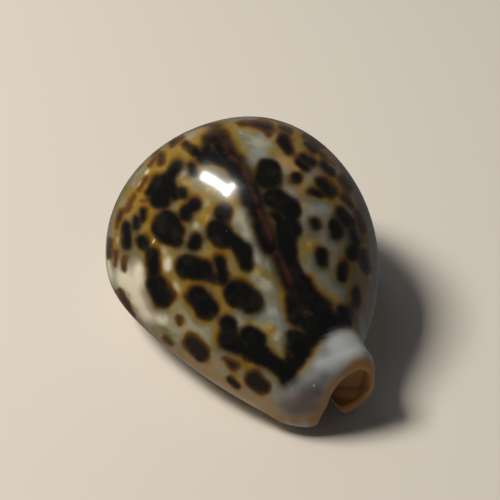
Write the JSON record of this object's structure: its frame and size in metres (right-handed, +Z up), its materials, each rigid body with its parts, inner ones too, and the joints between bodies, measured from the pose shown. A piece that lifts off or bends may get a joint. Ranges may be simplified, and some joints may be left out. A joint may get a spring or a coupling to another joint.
{
  "type": "cowrie shell",
  "caption": "Egg-shaped glossy hollow sea shell with a domed spotted back, a flat base to rest on, and a toothed slit that opens into a canal at both ends.",
  "frame": {"origin": "middle of the footprint, on the plane that the base rests on", "axes": "+X from the broad rear end to the narrow front end, +Y to the inner lip's side, +Z up out of the domed back"},
  "size_m": [0.08, 0.0625, 0.0468],
  "materials": {
    "shell": "glossy"
  },
  "bodies": {
    "root": {"shell": "shell"}
  },
  "joints": []
}
